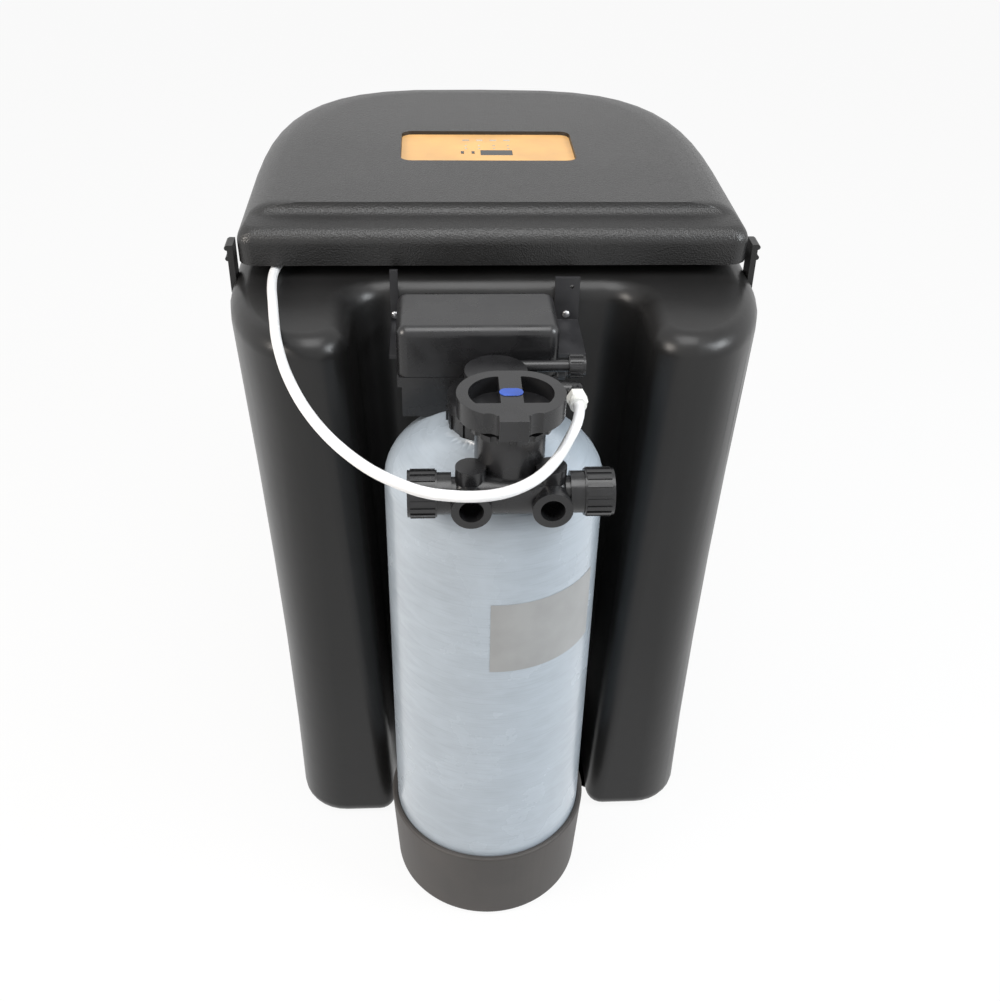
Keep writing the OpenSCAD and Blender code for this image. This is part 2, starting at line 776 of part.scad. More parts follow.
module bottom_strainer() color("#e4e4e0") placed() at_vessel() {
    low = vessel_foot_z + vessel_wall;
    height = 46;
    translate([0, 0, low])
        difference() {
            rotate_extrude()
                polygon([[0, 0], [18, 2], [26, 12], [26, height - 4], [22, height], [0, height]]);
            translate([0, 0, 14]) cylinder(r = riser_r + run_gap, h = height);
            for (a = [0:30:330])
                rotate([0, 0, a]) translate([20, -1, 16]) cube([8, 2, height - 24]);
        }
}

module top_basket() color("#e4e4e0") placed() at_vessel() {
    height = 40;
    low = neck_z - height - 4;
    translate([0, 0, low])
        difference() {
            rotate_extrude()
                polygon([[0, 0], [22, 0], [30, height - 8], [30, height], [0, height]]);
            translate([0, 0, -1]) cylinder(r = riser_r + 0.1, h = height + 2);
            for (a = [0:30:330])
                rotate([0, 0, a]) translate([19, -1, 6]) cube([14, 2, height - 18]);
        }
}

module resin_bed() color("#8a5a24") placed() at_vessel() {
    difference() {
        rotate_extrude()
            intersection() {
                polygon(vessel_profile(-vessel_wall - sit_gap, neck_r - 6, neck_z));
                square([vessel_r, resin_z]);
            }
        translate([0, 0, vessel_foot_z]) cylinder(r = riser_r + sit_gap, h = resin_z);
        translate([0, 0, vessel_foot_z]) cylinder(r = 26 + sit_gap, h = vessel_wall + 48);
    }
}

module valve_body() color("#17171a") placed() {
    ribs = 16;
    base_low = base_z - base_t;
    difference() {
        union() {
            at_vessel() {
                translate([0, 0, neck_z - 14]) cylinder(r = collar_r, h = base_z - neck_z + 14);
                for (i = [0:ribs - 1])
                    rotate([0, 0, 360 * i / ribs])
                        translate([collar_r - 1, -2, neck_z - 14]) cube([2.5, 4, 14]);
                translate([0, 0, base_z - 1]) cylinder(r = turret_r, h = valve_top_z - base_z + 1);
            }
            translate([-turret_r, front_face_y, base_low])
                cube([2 * turret_r, -front_face_y, block_top_z - base_low]);
            translate([head_x - head_w / 2, head_y, base_low]) cube([head_w, head_d, base_t]);
            translate([column_x - column_w / 2, column_y - column_d / 2, column_z])
                cube([column_w, column_d, base_z - column_z]);
            translate([0, brine_y, brine_z])
                rotate([0, 90, 0]) cylinder(r = 10, h = turret_r + 10);
            translate([0, injector_y, injector_z])
                rotate([0, 90, 0]) cylinder(r = 5.5, h = injector_reach);
        }
        at_vessel() {
            translate([0, 0, neck_z - 20]) cylinder(r = neck_r + sit_gap, h = 20 + 3);
            translate([0, 0, neck_z]) cylinder(r = riser_r + 4, h = 8);
            rotate_extrude() polygon(vessel_profile(sit_gap, neck_r, neck_z - 16));
        }
        translate([column_x, column_y, chamber_z]) cylinder(r = disc_r + sit_gap, h = chamber_h);
        translate([column_x, column_y, base_z - 4]) cylinder(r = spindle_r + run_gap, h = 5);
    }
}

module powerhead_cover() color("#1b1b1d") placed() {
    translate([head_x - head_w / 2, head_y, base_z])
        difference() {
            soft_box(head_w, head_d, head_h, 10, 9);
            translate([head_wall, head_wall, -1])
                soft_box(head_w - 2 * head_wall, head_d - 2 * head_wall, head_h - head_wall + 1, 7.5, 6.5);
        }
}

module drive_motor() color("#8d9094") placed() {
    low = base_z + coupling_h + 4;
    foot_w = 12;
    translate([column_x, column_y, 0]) {
        translate([0, 0, low]) cylinder(r = motor_r, h = motor_h);
        for (side = [-1, 1])
            translate([side > 0 ? motor_r - 6 : -motor_r - 4, -foot_w / 2, base_z])
                cube([10, foot_w, low - base_z + 3]);
    }
}

module valve_spindle() color("#c9ccd0") placed() {
    low = chamber_z + disc_t + sit_gap;
    translate([column_x, column_y, low])
        cylinder(r = spindle_r, h = base_z + 1 - low);
    translate([column_x, column_y, base_z + sit_gap]) cylinder(r = coupling_r, h = coupling_h);
}

module moving_disc() color("#efeae0") placed() {
    translate([column_x, column_y, chamber_z + disc_t + sit_gap])
        difference() {
            cylinder(r = disc_r, h = disc_t);
            translate([0, 0, -1]) cylinder(r = spindle_r, h = disc_t + 2);
            translate([disc_r * 0.6, 0, -1]) cylinder(r = 5, h = disc_t + 2);
        }
}

module fixed_disc() color("#e5dfd2") placed() {
    translate([column_x, column_y, chamber_z])
        difference() {
            cylinder(r = disc_r, h = disc_t);
            for (a = [0:90:270])
                rotate([0, 0, a]) translate([disc_r * 0.6, 0, -1]) cylinder(r = 4.5, h = disc_t + 2);
        }
}

// Fitting on the side of the valve that turns the brine line towards the front
module brine_fitting() color("#141416") placed() {
    start = turret_r + 10;
    translate([start, brine_y, brine_z]) rotate([0, 90, 0]) cylinder(r = 8, h = brine_reach - start);
    translate([brine_reach, brine_y, brine_z]) sphere(r = 8);
    translate([brine_reach, brine_y, brine_z]) rotate([90, 0, 0]) cylinder(r = 7, h = 12);
}

module brine_nut() color("#e9e9e6") placed() {
    length = 16;
    translate([brine_reach, brine_y - 12, brine_z])
        rotate([90, 0, 0]) {
            cylinder(r = 9.5, h = length * 0.6, $fn = 6);
            translate([0, 0, length * 0.6]) cylinder(r = 7.5, h = length * 0.4);
        }
}

module injector_cap() color("#141416") placed() {
    ribs = 10;
    translate([injector_reach, injector_y, injector_z]) rotate([0, 90, 0]) {
        cylinder(r = 9, h = 15);
        for (i = [0:ribs - 1])
            rotate([0, 0, 360 * i / ribs]) translate([8, -1, 1]) cube([2.2, 2, 12]);
    }
}

module drain_barb() color("#141416") placed() {
    edge = head_x + head_w / 2;
    translate([edge, head_y + 20, base_z - base_t / 2]) rotate([0, 90, 0])
        difference() {
            rotate_extrude()
                polygon([[0, 0], [9, 0], [9, 8], [6, 8], [6, 12], [7.5, 12], [6, 18], [7.5, 18],
                    [6, 24], [0, 24]]);
            translate([0, 0, 6]) cylinder(r = 4, h = 20);
        }
}

module bypass_body() color("#131315") placed() {
    detents = 14;
    difference() {
        union() {
            translate([0, bypass_y, housing_z]) cylinder(r = housing_r, h = housing_h);
            translate([0, bypass_y, housing_top - ring_h])
                difference() {
                    cylinder(r = ring_r, h = ring_h);
                    for (i = [0:detents - 1])
                        rotate([0, 0, 360 * (i + 0.5) / detents])
                            translate([ring_r + 1, 0, -1]) cylinder(r = 3.5, h = ring_h + 2);
                }
            translate([-24, bypass_y, housing_z + 6])
                cube([48, housing_r, block_top_z - housing_z - 8]);
            translate([-stub_x, tee_y, port_z]) rotate([0, 90, 0]) cylinder(r = stub_r, h = 2 * stub_x);
            translate([-port_pitch / 2, tee_y, port_z])
                rotate([0, 90, 0]) cylinder(r = tee_r, h = port_pitch);
            for (side = [-1, 1]) {
                translate([side * port_pitch / 2, tee_y, port_z]) sphere(r = tee_r);
                translate([side * port_pitch / 2, tee_y, port_z])
                    rotate([90, 0, 0]) cylinder(r = port_r, h = tee_y - port_face_y);
                translate([side * port_pitch / 2, port_face_y + 5, port_z])
                    rotate([90, 0, 0]) cylinder(r = port_r + 2, h = 5);
                translate([side * port_pitch / 2, tee_y, port_z])
                    cylinder(r = 13, h = housing_h * 0.54);
            }
        }
        translate([0, bypass_y, housing_z + 5]) cylinder(r = cavity_r, h = housing_h);
        for (side = [-1, 1])
            translate([side * port_pitch / 2, port_face_y - 1, port_z])
                rotate([-90, 0, 0]) cylinder(r = port_bore_r, h = port_depth + 1);
    }
}

module bypass_rotor() color("#3a3b3e") placed() {
    low = housing_z + 5 + sit_gap;
    high = housing_top - sit_gap;
    translate([0, bypass_y, 0])
        difference() {
            union() {
                translate([0, 0, low]) cylinder(r = rotor_r, h = high - low);
                translate([0, 0, high - 1]) cylinder(r = stem_r, h = handle_z + 8 - high + 1);
            }
            for (t = seal_levels)
                translate([0, 0, lerp(low, high, t)])
                    rotate_extrude() translate([rotor_r - 2 * seal_r - 0.1, -seal_r - 0.1])
                        square([4 * seal_r, 2 * seal_r + 0.2]);
            for (side = [-1, 1])
                translate([side * rotor_r * 0.45, -rotor_r - 1, lerp(low, high, 0.5)])
                    rotate([-90, 0, 0]) cylinder(r = 7, h = 2 * rotor_r + 2);
            translate([0, 0, handle_z - 4]) cylinder(r = screw_r + 0.1, h = 20);
        }
}

module rotor_seals() color("#0c0c0d") placed() {
    low = housing_z + 5 + sit_gap;
    high = housing_top - sit_gap;
    for (t = seal_levels)
        translate([0, bypass_y, lerp(low, high, t)])
            rotate_extrude() translate([rotor_r - seal_r + 0.1, 0]) circle(r = seal_r - 0.1, $fn = 24);
}

module bypass_bonnet() color("#202023") placed() {
    translate([0, bypass_y, housing_top])
        difference() {
            cylinder(r = housing_r, h = bonnet_t);
            translate([0, 0, -1]) cylinder(r = stem_r + run_gap, h = bonnet_t + 2);
        }
}

// Plan of the handle: an oval drawn in at the front, with a pointer
module handle_plan() {
    end_r = handle_d / 2;
    spread = handle_w / 2 - end_r;
    difference() {
        union() {
            for (side = [-1, 1])
                translate([side * spread, 0]) circle(r = end_r);
            translate([-spread, -end_r]) square([2 * spread, 2 * end_r]);
            translate([-12, -end_r - 9]) square([24, 16]);
        }
        for (side = [-1, 1])
            translate([side * 21, -end_r - 5]) circle(r = 9);
    }
}

// One finger hole beside the handle's web
module finger_hole(side) {
    inner_r = handle_d / 2 - rim_w;
    spread = handle_w / 2 - rim_w - inner_r;
    web = 9.5;
    intersection() {
        union() {
            for (end = [-1, 1])
                translate([end * spread, 0]) circle(r = inner_r);
            translate([-spread, -inner_r]) square([2 * spread, 2 * inner_r]);
        }
        translate([side > 0 ? web : -web - handle_w, -inner_r * 0.62]) square([handle_w, handle_d]);
    }
}

module bypass_handle() color("#101012") placed() {
    floor_t = 4;
    translate([0, bypass_y, handle_z])
        difference() {
            linear_extrude(handle_h) handle_plan();
            translate([0, 0, floor_t])
                linear_extrude(handle_h)
                    for (side = [-1, 1])
                        finger_hole(side);
            translate([0, 0, -1]) cylinder(r = stem_r + 0.1, h = 9.4);
            translate([0, 0, -1]) cylinder(r = screw_r + 0.1, h = handle_h + 2);
            translate([0, 0, handle_h - 3]) cylinder(r = screw_head_r + 0.3, h = 4);
        }
}

module handle_screw() color("#b9bbbd") placed() {
    translate([0, bypass_y, handle_z + handle_h - 3]) {
        translate([0, 0, -handle_h + 5]) cylinder(r = screw_r, h = handle_h - 5);
        cylinder(r = screw_head_r, h = 1.4);
    }
}

module handle_badge() color("#2a4fb5") placed() {
    translate([0, bypass_y, handle_z + handle_h])
        linear_extrude(0.8)
            union() {
                for (side = [-1, 1])
                    translate([side * 4, 0]) circle(r = 6);
                translate([-4, -6]) square([8, 12]);
            }
}

// Ribbed cap nut on a side stub, opening towards the middle
module cap_nut(side) {
    ribs = 18;
    mirror([side < 0 ? 1 : 0, 0, 0])
        translate([stub_x, tee_y, port_z]) rotate([0, 90, 0])
            difference() {
                union() {
                    cylinder(r = nut_r - 1, h = nut_len);
                    for (i = [0:ribs - 1])
                        rotate([0, 0, 360 * i / ribs])
                            translate([nut_r - 2, -2, 1.5]) cube([2, 4, nut_len - 4]);
                    translate([0, 0, -12]) cylinder(r = stub_r + 4, h = 12);
                }
                translate([0, 0, -13]) cylinder(r = stub_r + sit_gap, h = 13);
            }
}

module cap_nut_left() color("#121214") placed() cap_nut(-1);

module cap_nut_right() color("#121214") placed() cap_nut(1);

// Strap on the back wall of the bay with a leg that goes under the valve's base plate
module strap(x, leg_x, low, high, holes) {
    leg_y = head_y + head_d - 18;
    back = bay_y;
    leg_low = base_z - base_t - strap_t;
    difference() {
        union() {
            translate([x[0], back - strap_t, low]) cube([x[1] - x[0], strap_t, high - low]);
            translate([leg_x[0], leg_y, leg_low]) cube([leg_x[1] - leg_x[0], back - leg_y, strap_t]);
        }
        for (h = holes)
            translate([h[0], back - strap_t - 1, h[1]])
                rotate([-90, 0, 0]) cylinder(r = screw_r + 0.1, h = strap_t + 2);
    }
}

left_screws = [base_z - 4];
right_screws = [base_z - 34, base_z - 4];
left_places = [for (z = left_screws) [(left_strap_x[0] + left_strap_x[1]) / 2, z]];
right_places = [for (z = right_screws) [(right_strap_x[0] + right_strap_x[1]) / 2, z]];
bracket_screw_places = concat(left_places, right_places);
free_hole = [right_strap_x[1] - 8, base_z + 26];

module left_bracket() color("#2c2c2e") placed()
    strap(left_strap_x, [left_strap_x[0], left_strap_x[0] + 26], base_z - base_t - strap_t,
        strap_top[0], left_places);

module right_bracket() color("#2c2c2e") placed()
    strap(right_strap_x, [right_strap_x[0] - 18, right_strap_x[1]], right_strap_foot, strap_top[1],
        concat(right_places, [free_hole]));

module bracket_screws() color("#9a9ca0") placed() {
    for (p = bracket_screw_places)
        translate([p[0], bay_y - strap_t, p[1]]) mirror([0, 1, 0]) screw_in(strap_t + 4);
}

// Round tube swept along the route, with square ends
module brine_tube() color("#f2f3f4") placed() {
    path = smooth_route(tube_path);
    last = len(path) - 1;
    up = [0, 0, 1];
    loft([for (k = [last:-1:0])
        let (along = unit(path[min(k + 1, last)] - path[max(k - 1, 0)]),
            across = unit(cross(along, up)),
            over = cross(across, along))
        [for (i = [0:tube_sides - 1]) let (a = 360 * i / tube_sides)
            path[k] + tube_d / 2 * (cos(a) * across + sin(a) * over)]]);
}

tank();
mouth_rim();
lid();
tank_hinge_leaf();
lid_hinge_leaf();
hinge_pin();
tank_leaf_screws();
lid_leaf_screws();
panel_tray();
panel_overlay();
display_window();
indicator_lamps();
control_board();
salt_grid();
brine_well();
well_cap();
float_rod();
brine_float();
brine_elbow();
vessel_boot();
vessel_shell();
neck_seal();
riser_tube();
bottom_strainer();
top_basket();
resin_bed();
valve_body();
powerhead_cover();
drive_motor();
valve_spindle();
moving_disc();
fixed_disc();
brine_fitting();
brine_nut();
injector_cap();
drain_barb();
bypass_body();
bypass_rotor();
rotor_seals();
bypass_bonnet();
bypass_handle();
handle_badge();
handle_screw();
cap_nut_left();
cap_nut_right();
left_bracket();
right_bracket();
bracket_screws();
brine_tube();
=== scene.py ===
"""Looks of the water softener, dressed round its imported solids."""

import json
import math

import bmesh
import bpy
from mathutils import Matrix, Vector


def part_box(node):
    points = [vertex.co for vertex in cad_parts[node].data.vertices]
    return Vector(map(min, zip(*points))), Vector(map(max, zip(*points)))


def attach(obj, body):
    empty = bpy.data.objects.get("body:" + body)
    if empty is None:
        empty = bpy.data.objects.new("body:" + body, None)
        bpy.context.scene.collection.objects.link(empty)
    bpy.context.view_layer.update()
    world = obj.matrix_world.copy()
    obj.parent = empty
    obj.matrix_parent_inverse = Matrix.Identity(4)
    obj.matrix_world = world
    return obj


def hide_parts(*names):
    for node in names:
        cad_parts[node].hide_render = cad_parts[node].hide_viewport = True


bl_info = {
    "name": "Water Softener",
    "version": (1, 0, 0),
    "blender": (4, 5, 0),
    "location": "View3D > Sidebar > Water Softener",
    "description": "Builds the finished water softener on its solids",
    "category": "Object",
}

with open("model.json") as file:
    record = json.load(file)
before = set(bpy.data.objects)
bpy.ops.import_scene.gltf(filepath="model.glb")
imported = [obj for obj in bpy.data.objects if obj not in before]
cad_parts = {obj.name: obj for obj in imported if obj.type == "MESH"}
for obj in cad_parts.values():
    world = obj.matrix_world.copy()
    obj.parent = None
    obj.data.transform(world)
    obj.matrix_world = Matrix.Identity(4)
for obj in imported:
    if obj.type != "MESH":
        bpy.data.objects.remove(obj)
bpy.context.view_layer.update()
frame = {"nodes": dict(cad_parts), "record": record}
BODIES = frame["record"]["behaviour"]["bodies"]
BODY_OF = {node: body for body, nodes in BODIES.items() for node in nodes}
SLOT_OF = {part["node"]: part["material_slot"] for part in frame["record"]["subparts"]}

VESSEL_LOW, VESSEL_HIGH = (Vector(corner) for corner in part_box("vessel_shell"))
VESSEL_AXIS = (VESSEL_LOW + VESSEL_HIGH) / 2
ROTOR_LOW, ROTOR_HIGH = (Vector(corner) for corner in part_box("bypass_rotor"))
BYPASS_AXIS = (ROTOR_LOW + ROTOR_HIGH) / 2

# Distance of the bypass line in front of the vessel's line, in metres
BYPASS_AHEAD = 0.076
Y_SHIFT = BYPASS_AXIS.y + BYPASS_AHEAD

# The brine tube's route from its nut to the elbow on the brine well, in millimetres from the vessel's line
TUBE_ROUTE = (
    (63, -28, 620), (63, -36, 620), (59, -54, 618.5), (50, -76, 615.5), (38, -101, 613),
    (23, -123, 611.5), (6, -138, 610.5), (-13, -147, 610), (-33, -150, 610), (-52, -149, 610.5),
    (-70, -146, 611.5), (-89, -138, 613.5), (-118, -119, 618), (-148, -87, 624.5), (-173, -47, 632),
    (-192, -2, 640), (-204, 42, 647), (-210, 78, 651), (-215, 114, 651.3), (-220, 152, 651.2),
    (-221.5, 186, 651), (-217, 212, 651), (-208.3, 238, 651), (-194.3648, 268.5329, 651),
    (-191.6287, 276.0504, 651),
)

ROUTE_STEP = 6.0
MILLIMETRES = 1000

# Brightness of the background where it is seen, and as light on the part
SEEN_LEVEL = 1.0
LIGHT_LEVEL = 0.32
FLOOR_GLOW = 0.92
FLOOR_GREY = 0.86

# Softboxes: name, place, width, power and colour, all aimed near the middle of the part
LAMP_AIM = (0, 0.05, 0.45)
TOP_AIM = (0, 0.0, 0.5)
LAMPS = (
    ("Left Softbox", (-1.7, -1.0, 1.5), LAMP_AIM, 0.9, 30.0, (1.0, 0.93, 0.86)),
    ("Right Softbox", (1.7, -0.9, 1.6), LAMP_AIM, 0.9, 34.0, (0.93, 0.97, 1.0)),
    ("Top Softbox", (0.0, -0.6, 2.3), TOP_AIM, 1.2, 20.0, (1.0, 1.0, 1.0)),
)

# Camera fitted to the photograph: its place from the vessel's line, its axes and its focal length in pixels
CAMERA_PLACE = (-0.06216, -0.9049, 1.14152)
CAMERA_RIGHT = Vector((0.998446, -0.051916, 0.020241))
CAMERA_DOWN = Vector((-0.013511, -0.577968, -0.815947))
CAMERA_AHEAD = Vector((0.05406, 0.814406, -0.577772))
SENSOR_WIDTH = 36.0
FOCAL_PIXELS = 1165
PHOTO_PIXELS = 1001

# Edges sharper than this are rounded on the large mouldings, in degrees
BROAD_EDGE_ANGLE = 50.0

# Winding of the vessel: bands round it, their pitch and the strands' pitch, in metres
WINDING_TURNS = 7
WINDING_PITCH = 0.21
STRAND_PITCH = 0.0026

# Where the sticker starts, in degrees about the vessel's line, and the steps round it
STICKER_START = -93.5
STICKER_STEPS = 24

# Printed bars on the control panel, in metres
NAME_COUNT = 4
NAME_MARGIN = 0.12
NAME_BAR = (0.0075, 0.0032)
NAME_RISE = 0.017
KEY_BAR = (0.0032, 0.0078)
KEY_GAPS = (0.0085, 0.0205)

# Flow arrows on the side stubs, in metres
ARROW_SHIFT = 0.033
ARROW_SHAFT = (0.008, 0.0032)
ARROW_HALF = 0.003
ARROW_HEAD_RADIUS = 0.0045


class SoftenerColours(bpy.types.PropertyGroup):
    """Colours of the finishes."""

    tank: bpy.props.FloatVectorProperty(
        name="Tank", description="Black of the moulded tank", subtype="COLOR", size=3,
        default=(0.011, 0.0108, 0.0108))
    lid: bpy.props.FloatVectorProperty(
        name="Lid", description="Black of the pebbled lid", subtype="COLOR", size=3,
        default=(0.013, 0.0128, 0.0128))
    vessel: bpy.props.FloatVectorProperty(
        name="Vessel", description="Pale blue of the wound vessel", subtype="COLOR", size=3,
        default=(0.4, 0.455, 0.51))
    boot: bpy.props.FloatVectorProperty(
        name="Boot", description="Warm grey of the vessel's boot", subtype="COLOR", size=3,
        default=(0.06, 0.055, 0.052))
    valve: bpy.props.FloatVectorProperty(
        name="Valve", description="Black of the valve mouldings", subtype="COLOR", size=3,
        default=(0.013, 0.013, 0.014))
    panel: bpy.props.FloatVectorProperty(
        name="Panel", description="Orange of the control panel", subtype="COLOR", size=3,
        default=(0.79, 0.46, 0.18))
    tube: bpy.props.FloatVectorProperty(
        name="Tube", description="White of the brine tube", subtype="COLOR", size=3,
        default=(0.86, 0.865, 0.87))
    sticker: bpy.props.FloatVectorProperty(
        name="Sticker", description="Grey of the vessel's blank sticker", subtype="COLOR", size=3,
        default=(0.33, 0.335, 0.335))
    badge: bpy.props.FloatVectorProperty(
        name="Badge", description="Blue of the handle's inlay", subtype="COLOR", size=3,
        default=(0.02, 0.07, 0.36))


class SoftenerSizes(bpy.types.PropertyGroup):
    """Sizes of the dressed pieces."""

    edge: bpy.props.FloatProperty(
        name="Edge", description="Rounding of the moulded edges", unit="LENGTH", default=0.0011, min=0.0)
    fine_edge: bpy.props.FloatProperty(
        name="Fine Edge", description="Rounding of the small edges", unit="LENGTH", default=0.0005, min=0.0)
    tube_diameter: bpy.props.FloatProperty(
        name="Tube Diameter", description="Outer diameter of the brine tube", unit="LENGTH", default=0.0095)
    stub_radius: bpy.props.FloatProperty(
        name="Stub Radius", description="Radius of the bypass valve's side stubs", unit="LENGTH", default=0.014)
    print_film: bpy.props.FloatProperty(
        name="Print Film", description="Thickness of the printed marks", unit="LENGTH", default=0.0003, min=0.0)
    sticker_foot: bpy.props.FloatProperty(
        name="Sticker Foot", description="Height of the sticker's lower edge", unit="LENGTH", default=0.374)
    sticker_height: bpy.props.FloatProperty(
        name="Sticker Height", description="Height of the blank sticker", unit="LENGTH", default=0.082)
    sticker_width: bpy.props.FloatProperty(
        name="Sticker Width", description="Length of the sticker round the vessel", unit="LENGTH", default=0.118)
    floor: bpy.props.FloatProperty(
        name="Floor", description="Width of the studio floor", unit="LENGTH", default=40.0)


def colours():
    return bpy.context.scene.softener_colours


def sizes():
    return bpy.context.scene.softener_sizes


class Finish:
    """A material in the making, with short ways to add its nodes."""

    def __init__(self, name, colour, roughness, specular=0.5):
        self.material = bpy.data.materials.new(name)
        self.material.use_nodes = True
        self.tree = self.material.node_tree
        self.shader = self.tree.nodes["Principled BSDF"]
        self.shader.inputs["Base Color"].default_value = (*colour, 1)
        self.shader.inputs["Roughness"].default_value = roughness
        self.shader.inputs["Specular IOR Level"].default_value = specular
        self.coords = self.tree.nodes.new("ShaderNodeTexCoord").outputs["Object"]

    def node(self, kind, inputs=None, **settings):
        made = self.tree.nodes.new(kind)
        for key, value in settings.items():
            setattr(made, key, value)
        for key, value in (inputs or {}).items():
            if isinstance(value, bpy.types.NodeSocket):
                self.tree.links.new(value, made.inputs[key])
            else:
                made.inputs[key].default_value = value
        return made

    def stretched(self, scale):
        return self.node("ShaderNodeMapping", {"Vector": self.coords, "Scale": scale}).outputs["Vector"]

    def noise(self, scale, detail=3.0, vector=None):
        return self.node(
            "ShaderNodeTexNoise", {"Vector": vector or self.coords, "Scale": scale, "Detail": detail}
        ).outputs["Fac"]

    def cells(self, scale):
        return self.node("ShaderNodeTexVoronoi", {"Vector": self.coords, "Scale": scale}).outputs["Distance"]

    def ramp(self, value, low, high, bottom=0.0, top=1.0):
        return self.node(
            "ShaderNodeMapRange",
            {"Value": value, "From Min": low, "From Max": high, "To Min": bottom, "To Max": top},
        ).outputs["Result"]

    def math(self, operation, first, second=0.0):
        made = self.node("ShaderNodeMath", operation=operation)
        for index, value in enumerate((first, second)):
            if isinstance(value, bpy.types.NodeSocket):
                self.tree.links.new(value, made.inputs[index])
            else:
                made.inputs[index].default_value = value
        return made.outputs["Value"]

    def blend(self, factor, first, second):
        made = self.node("ShaderNodeMix", data_type="RGBA")
        for index, value in ((0, factor), (6, first), (7, second)):
            if isinstance(value, bpy.types.NodeSocket):
                self.tree.links.new(value, made.inputs[index])
            elif index == 0:
                made.inputs[index].default_value = value
            else:
                made.inputs[index].default_value = (*value, 1)
        return made.outputs[2]

    def colour(self, value):
        self.tree.links.new(value, self.shader.inputs["Base Color"])
        return self

    def roughness(self, value):
        self.tree.links.new(value, self.shader.inputs["Roughness"])
        return self

    def bump(self, height, strength, depth):
        before = self.shader.inputs["Normal"].links
        inputs = {"Height": height, "Strength": strength, "Distance": depth}
        if before:
            inputs["Normal"] = before[0].from_socket
        made = self.node("ShaderNodeBump", inputs)
        self.tree.links.new(made.outputs["Normal"], self.shader.inputs["Normal"])
        return self


def scaled(colour, factor):
    return tuple(min(channel * factor, 1.0) for channel in colour)


def tank_finish():
    base = colours().tank
    finish = Finish("Tank Satin Black", base, 0.32, 0.36)
    streaks = finish.noise(9.0, 4.0, finish.stretched((1.0, 1.0, 0.12)))
    clouds = finish.noise(5.0, 5.0)
    mixed = finish.math("ADD", finish.math("MULTIPLY", streaks, 0.6), finish.math("MULTIPLY", clouds, 0.4))
    finish.colour(finish.blend(finish.ramp(mixed, 0.35, 0.65), scaled(base, 0.8), scaled(base, 1.35)))
    finish.roughness(finish.ramp(mixed, 0.3, 0.7, 0.26, 0.38))
    finish.bump(finish.noise(42.0, 2.0), 0.10, 0.002)
    finish.bump(finish.noise(1400.0, 2.0), 0.10, 0.0003)
    return finish.material


def lid_finish():
    base = colours().lid
    finish = Finish("Lid Pebbled Black", base, 0.33, 0.5)
    pebbles = finish.cells(620.0)
    grain = finish.noise(900.0, 2.0)
    clouds = finish.noise(7.0, 4.0)
    finish.colour(finish.blend(finish.ramp(clouds, 0.35, 0.65), scaled(base, 0.85), scaled(base, 1.25)))
    finish.roughness(finish.ramp(grain, 0.3, 0.7, 0.26, 0.42))
    finish.bump(pebbles, 0.5, 0.0007)
    finish.bump(grain, 0.22, 0.0004)
    return finish.material


def vessel_finish():
    base = colours().vessel
    finish = Finish("Vessel Wound Fibre", base, 0.24, 0.5)
    finish.shader.inputs["Coat Weight"].default_value = 0.35
    finish.shader.inputs["Coat Roughness"].default_value = 0.12
    shifted = finish.node(
        "ShaderNodeVectorMath", {0: finish.coords, 1: (-VESSEL_AXIS.x, -VESSEL_AXIS.y, 0)}, operation="ADD"
    ).outputs["Vector"]
    parts = finish.node("ShaderNodeSeparateXYZ", {"Vector": shifted})
    angle = finish.math("ARCTAN2", parts.outputs["Y"], parts.outputs["X"])
    turns = finish.math("DIVIDE", angle, 2 * math.pi)
    height = parts.outputs["Z"]
    bands = None
    rise = finish.math("DIVIDE", height, WINDING_PITCH / WINDING_TURNS)
    for count in (WINDING_TURNS, -WINDING_TURNS):
        along = finish.math("ADD", finish.math("MULTIPLY", turns, count), rise)
        wave = finish.math("SINE", finish.math("MULTIPLY", along, 2 * math.pi))
        soft = finish.ramp(wave, 0.55, 1.0)
        bands = soft if bands is None else finish.math("MAXIMUM", bands, soft)
    strands = finish.math("SINE", finish.math("MULTIPLY", height, 2 * math.pi / STRAND_PITCH))
    mist = finish.noise(16.0, 5.0)
    threads = finish.noise(60.0, 3.0, finish.stretched((0.4, 0.4, 9.0)))
    tone = finish.blend(finish.ramp(mist, 0.35, 0.7), scaled(base, 0.92), scaled(base, 1.07))
    tone = finish.blend(finish.math("MULTIPLY", bands, 0.12), tone, scaled(base, 1.25))
    tone = finish.blend(finish.math("MULTIPLY", finish.ramp(threads, 0.5, 0.72), 0.3), tone, scaled(base, 0.7))
    finish.colour(tone)
    finish.roughness(finish.ramp(mist, 0.3, 0.7, 0.2, 0.32))
    finish.bump(bands, 0.08, 0.0006)
    finish.bump(strands, 0.08, 0.0003)
    return finish.material


def sticker_finish():
    base = colours().sticker
    finish = Finish("Sticker Grey Film", base, 0.45, 0.4)
    clouds = finish.noise(30.0, 4.0)
    finish.colour(finish.blend(finish.ramp(clouds, 0.35, 0.65), scaled(base, 0.94), scaled(base, 1.06)))
    finish.roughness(finish.ramp(clouds, 0.3, 0.7, 0.4, 0.52))
    return finish.material


def boot_finish():
    base = colours().boot
    finish = Finish("Boot Warm Grey", base, 0.55, 0.4)
    clouds = finish.noise(14.0, 5.0)
    finish.colour(finish.blend(finish.ramp(clouds, 0.35, 0.65), scaled(base, 0.85), scaled(base, 1.2)))
    finish.roughness(finish.ramp(clouds, 0.3, 0.7, 0.48, 0.62))
    finish.bump(finish.noise(700.0, 2.0), 0.15, 0.0004)
    return finish.material


